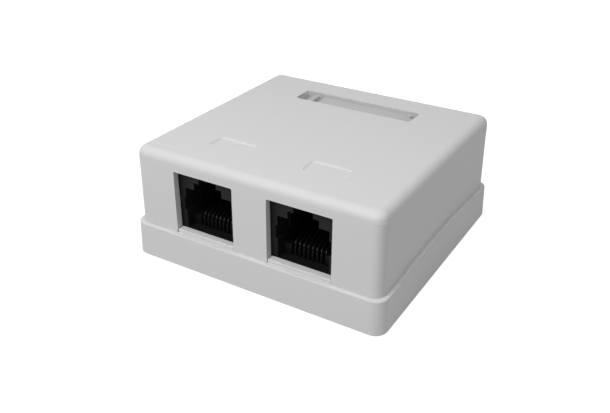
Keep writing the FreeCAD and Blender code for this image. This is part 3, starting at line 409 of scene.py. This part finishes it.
def ring_faces(rings, points, first, closed):
    """Quads between neighbouring rings, for a sweep whose points start at a number.

    A closed sweep's last ring joins its first one, and an open one gets a face at each end.
    """
    ring, point = np.meshgrid(np.arange(rings if closed else rings - 1), np.arange(points), indexing="ij")
    here, there = first + ring * points, first + (ring + 1) % rings * points
    beside = (point + 1) % points
    corners = np.stack([here + point, here + beside, there + beside, there + point], -1)
    quads = corners.reshape(-1, 4).tolist()
    if closed:
        return quads
    start = list(range(first + points - 1, first - 1, -1))
    end = list(range(first + (rings - 1) * points, first + rings * points))
    return quads + [start, end]


def make_piece(name, grids, material, body, closed=False):
    """One mesh from several swept grids (m, k, 3), in millimetres, that rides on a body."""
    vertices, faces = [], []
    for grid in grids:
        faces += ring_faces(grid.shape[0], grid.shape[1], sum(len(block) for block in vertices), closed)
        vertices.append(grid.reshape(-1, 3) * MM)
    mesh = bpy.data.meshes.new(name)
    mesh.from_pydata(np.vstack(vertices).tolist(), [], faces)
    mesh.materials.append(material)
    mesh.shade_smooth()
    mesh.set_sharp_from_angle(angle=CREASE)
    piece = bpy.data.objects.new(name, mesh)
    bpy.context.scene.collection.objects.link(piece)
    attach(piece, body)
    print(name, "has", len(mesh.vertices), "points")
    return piece


# %% [markdown]
# ## The spring wires
#
# Each jack has eight round wires of plated bronze. A wire comes up from the board behind, runs forward
# under the contact carrier, climbs through a slot of the comb at the front and leans back over it, up to
# the rear block. A plug presses the leaning part down. The CAD model has strips with sharp bends in their
# place. Here they become round wires with round bends, and the light catches each one at its top bend.

# %% Make the wires
CONTACTS = 8
CONTACT_PITCH = 1.016
WIRE_RADIUS = 0.19
WIRE_POINTS = 12
BEND_RADIUS = 0.5
TAIL_ROWS = (13.4, 15.8)
TAIL_BOTTOM = -2.6
RUN_LEVEL = 1.4
COMB_RUN = 3.0
BEND_TOP = 3.5
TIP = (12.7, 7.6)


def wire_route(number):
    """Corners of one wire, in millimetres from its jack's middle, that jack's face and the board's top."""
    x = (number - (CONTACTS - 1) / 2) * CONTACT_PITCH
    row = TAIL_ROWS[number % 2]
    corners = [(row, TAIL_BOTTOM), (row, RUN_LEVEL), (COMB_RUN, RUN_LEVEL), (COMB_RUN, BEND_TOP), TIP]
    return np.array([(x, y, z) for y, z in corners])


def make_wires(side):
    """Eight wires of one jack: a circle r (cos a, sin a) swept along each rounded route."""
    angle = np.linspace(0, 2 * np.pi, WIRE_POINTS, endpoint=False)
    circle = WIRE_RADIUS * np.stack([np.cos(angle), np.sin(angle)], -1)
    origin = np.array([JACK_MIDDLE[side], JACK_FACE, BOARD_TOP]) / MM
    paths = [rounded_path(wire_route(number), BEND_RADIUS) + origin for number in range(CONTACTS)]
    grids = [sweep(path, circle, SIDEWAYS) for path in paths]
    wires = make_piece(f"{side}_contact_wires", grids, contact_wire, "base")
    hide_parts(*(f"{side}_contact_{number + 1}" for number in range(CONTACTS)))


for side in SIDES:
    make_wires(side)

# %% [markdown]
# ## Copper tracks
#
# Eight tracks on the board fan out from each jack's tails to the clips of the block behind it. They are
# copper under the green mask, so they stand a hair above the board, with a paler green. A track is a flat
# rectangle swept over the board.

# %% Make the tracks
CLIP_PITCH = 2.54
TRACK_WIDTH = 0.5
TRACK_HEIGHT = 0.06
TRACK_BENDS = (-0.3, 3.6)


def track_route(number, side):
    """Corners of one track: back from a tail, slanting out behind the jack, and back to its clip."""
    jack_low, jack_high = (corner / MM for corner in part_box(f"{side}_jack_housing"))
    block_low, block_high = (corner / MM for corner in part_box(f"{side}_idc_block"))
    place = number - (CONTACTS - 1) / 2
    tail_x = JACK_MIDDLE[side] / MM + place * CONTACT_PITCH
    clip_x = (block_low.x + block_high.x) / 2 + place * CLIP_PITCH
    tail_y, clip_y = jack_low.y + TAIL_ROWS[number % 2], (block_low.y + block_high.y) / 2
    near, far = (jack_high.y + bend for bend in TRACK_BENDS)
    route = [(tail_x, tail_y), (tail_x, near), (clip_x, far), (clip_x, clip_y)]
    return np.array([(x, y, BOARD_TOP / MM) for x, y in route])


def make_tracks(side):
    """Eight tracks: the rectangle w x h, centred on the board's surface, swept along each route."""
    x, z = TRACK_WIDTH / 2, TRACK_HEIGHT / 2
    section = np.array([(-x, -z), (x, -z), (x, z), (-x, z)])
    grids = [sweep(track_route(number, side), section, UP) for number in range(CONTACTS)]
    make_piece(f"{side}_board_tracks", grids, track_mask, "base")


track_mask = moulded("track_mask", (0.045, 0.20, 0.075, 1.0), 0.3, drift=0.2, grain=2500.0)
for side in SIDES:
    make_tracks(side)

# %% [markdown]
# ## The icon trays' slopes
#
# Over each port the top has a shallow tray for an icon. Its walls slope, so the back edge catches the light
# as a soft band and the left edge falls into shade. The CAD solid's walls are upright, and its mesh stays
# as it is. A thin three-sided strip that runs once round the tray's floor, with its back and its underside
# just buried, gives the slope.

# %% Slope the trays' walls
TRAY_WIDTH, TRAY_DEPTH, TRAY_SETBACK, TRAY_ROUND = 9.5, 5.0, 9.9, 1.0
TRAY_SINK = 0.3
SLOPE_RUN = 0.5
BURIED = 0.02
BASE_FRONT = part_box("base")[0].y / MM
COVER_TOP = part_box("cover")[1].z / MM


def tray_outline(middle):
    """A rounded rectangle on the tray's floor, as a path from the middle of its front side and back there."""
    left, right = middle - TRAY_WIDTH / 2, middle + TRAY_WIDTH / 2
    front, back = BASE_FRONT + TRAY_SETBACK, BASE_FRONT + TRAY_SETBACK + TRAY_DEPTH
    corners = [(middle, front), (right, front), (right, back), (left, back), (left, front), (middle, front)]
    level = np.full((len(corners), 1), COVER_TOP - TRAY_SINK)
    return rounded_path(np.hstack([corners, level]), TRAY_ROUND)


def slope_rings(side):
    """A three-sided section swept round one tray. The path ends where it starts, so the last ring goes."""
    section = np.array([(-BURIED, -BURIED), (SLOPE_RUN, -BURIED), (-BURIED, TRAY_SINK)])
    return sweep(tray_outline(JACK_MIDDLE[side] / MM), section, UP)[:-1]


slopes = [slope_rings(side) for side in SIDES]
make_piece("icon_tray_slopes", slopes, cover_plastic, "cover", closed=True)

# %% [markdown]
# ## The camera
#
# The camera stands to the right of the box, in front of it and above it, and looks down at about 29
# degrees. Its direction is built from an azimuth and an elevation, and a hair of roll.

# %% Place the camera
LENS = 43.61
SENSOR_WIDTH = 36.0
CAMERA_PLACE = np.array([75.20, -131.24, 89.70]) * MM
AZIMUTH, ELEVATION, ROLL = np.radians([31.12, 28.87, 0.10])


def camera_axes(azimuth, elevation, roll):
    """Right, up and forward unit vectors: forward = (-sin a cos e, cos a cos e, -sin e), then roll."""
    forward = np.array(
        [-np.sin(azimuth) * np.cos(elevation), np.cos(azimuth) * np.cos(elevation), -np.sin(elevation)]
    )
    right = np.cross(forward, UP)
    right /= np.linalg.norm(right)
    up = np.cross(right, forward)
    turned_right = np.cos(roll) * right + np.sin(roll) * up
    turned_up = np.cos(roll) * up - np.sin(roll) * right
    return turned_right, turned_up, forward


right, up, forward = camera_axes(AZIMUTH, ELEVATION, ROLL)
camera_data = bpy.data.cameras.new("camera")
camera_data.sensor_width = SENSOR_WIDTH
camera_data.lens = LENS
camera_data.clip_start, camera_data.clip_end = 0.01, 20.0
camera = bpy.data.objects.new("camera", camera_data)
columns = np.stack([right, up, -forward, CAMERA_PLACE], -1)
camera.matrix_world = Matrix(np.vstack([columns, [0.0, 0.0, 0.0, 1.0]]).tolist())
bpy.context.scene.collection.objects.link(camera)
bpy.context.scene.camera = camera
print("lens", round(camera_data.lens, 2), "mm")

# %% [markdown]
# ## Floor and world
#
# The box stands on a pale floor against white. The white comes from what the camera, glossy and
# transmission rays see, and not from more light: the world is white to them and soft grey to the light that
# falls on the box.

# %% Floor and world


def sees_background(tree):
    """1 for camera, glossy and transmission rays, and 0 for the rest."""
    path = add(tree, "ShaderNodeLightPath").outputs
    seen = reckon(tree, "MAXIMUM", path["Is Camera Ray"], path["Is Glossy Ray"])
    return reckon(tree, "MAXIMUM", seen, path["Is Transmission Ray"])


AMBIENT = 0.30
FLOOR_GLOW = 0.86
FLOOR_COLOUR = 0.5
FLOOR_REACH = 1.5


def make_floor():
    """A flat floor: a diffuse surface, plus a glow that only camera, glossy and transmission rays see."""
    corners = [(x * FLOOR_REACH, y * FLOOR_REACH, 0.0) for x, y in ((-1, -1), (1, -1), (1, 1), (-1, 1))]
    mesh = bpy.data.meshes.new("floor")
    mesh.from_pydata(corners, [], [(0, 1, 2, 3)])
    floor = bpy.data.objects.new("floor", mesh)
    bpy.context.scene.collection.objects.link(floor)
    material = bpy.data.materials.new("floor")
    material.use_nodes = True
    tree = material.node_tree
    tree.nodes.clear()
    matt = add(tree, "ShaderNodeBsdfDiffuse", {"Color": grey(FLOOR_COLOUR)}).outputs[0]
    glow = add(tree, "ShaderNodeEmission", {"Strength": FLOOR_GLOW}).outputs[0]
    both = add(tree, "ShaderNodeAddShader", {0: matt, 1: glow}).outputs[0]
    mix = add(tree, "ShaderNodeMixShader", {0: sees_background(tree), 1: matt, 2: both}).outputs[0]
    add(tree, "ShaderNodeOutputMaterial", {"Surface": mix})
    mesh.materials.append(material)


def make_world():
    """A world that is white to the rays that show a background, and a soft grey to the light."""
    world = bpy.data.worlds.new("studio")
    bpy.context.scene.world = world
    world.use_nodes = True
    tree = world.node_tree
    tree.nodes.clear()
    soft = add(tree, "ShaderNodeBackground", {"Strength": AMBIENT}).outputs[0]
    white = add(tree, "ShaderNodeBackground", {"Strength": 1.0}).outputs[0]
    for background in (soft.node, white.node):
        background.inputs["Color"].default_value = grey(1.0)
    mix = add(tree, "ShaderNodeMixShader", {0: sees_background(tree), 1: soft, 2: white}).outputs[0]
    add(tree, "ShaderNodeOutputWorld", {"Surface": mix})


make_floor()
make_world()
print("floor colour", FLOOR_COLOUR, "glow", FLOOR_GLOW, "world light", AMBIENT)

# %% [markdown]
# ## Lamps
#
# Three square softboxes light the box. A wide one overhead sets the level of the top. A smaller one,
# closer, high in front and a little to the left, makes the front paler than the right side and draws the
# soft highlight along the top's front edge. A weak one near the top's front keeps the top palest towards
# the camera.

# %% Place the lamps
AIM = Vector((0.0, 0.0, 0.012))
LAMPS = {
    "top_softbox": {"place": (0.0, 0.0, 0.6), "size": 0.5, "power": 0.7},
    "near_softbox": {"place": (-0.05, -0.2, 0.22), "size": 0.12, "power": 0.38},
    "right_softbox": {"place": (0.05, -0.12, 0.2), "size": 0.14, "power": 0.07},
}


def add_lamp(name, place, size, power):
    """A square area lamp that looks at the middle of the box."""
    data = bpy.data.lights.new(name, "AREA")
    data.energy, data.size = power, size
    lamp = bpy.data.objects.new(name, data)
    lamp.location = place
    lamp.rotation_euler = (AIM - lamp.location).to_track_quat("-Z", "Y").to_euler()
    bpy.context.scene.collection.objects.link(lamp)


for name, facts in LAMPS.items():
    add_lamp(name, **facts)
print("lamps:", list(LAMPS))

# %% [markdown]
# ## Finish
#
# The picture keeps its colours as they are written, so the view transform is Standard.

# %% Set the view transform
bpy.context.scene.view_settings.view_transform = "Standard"
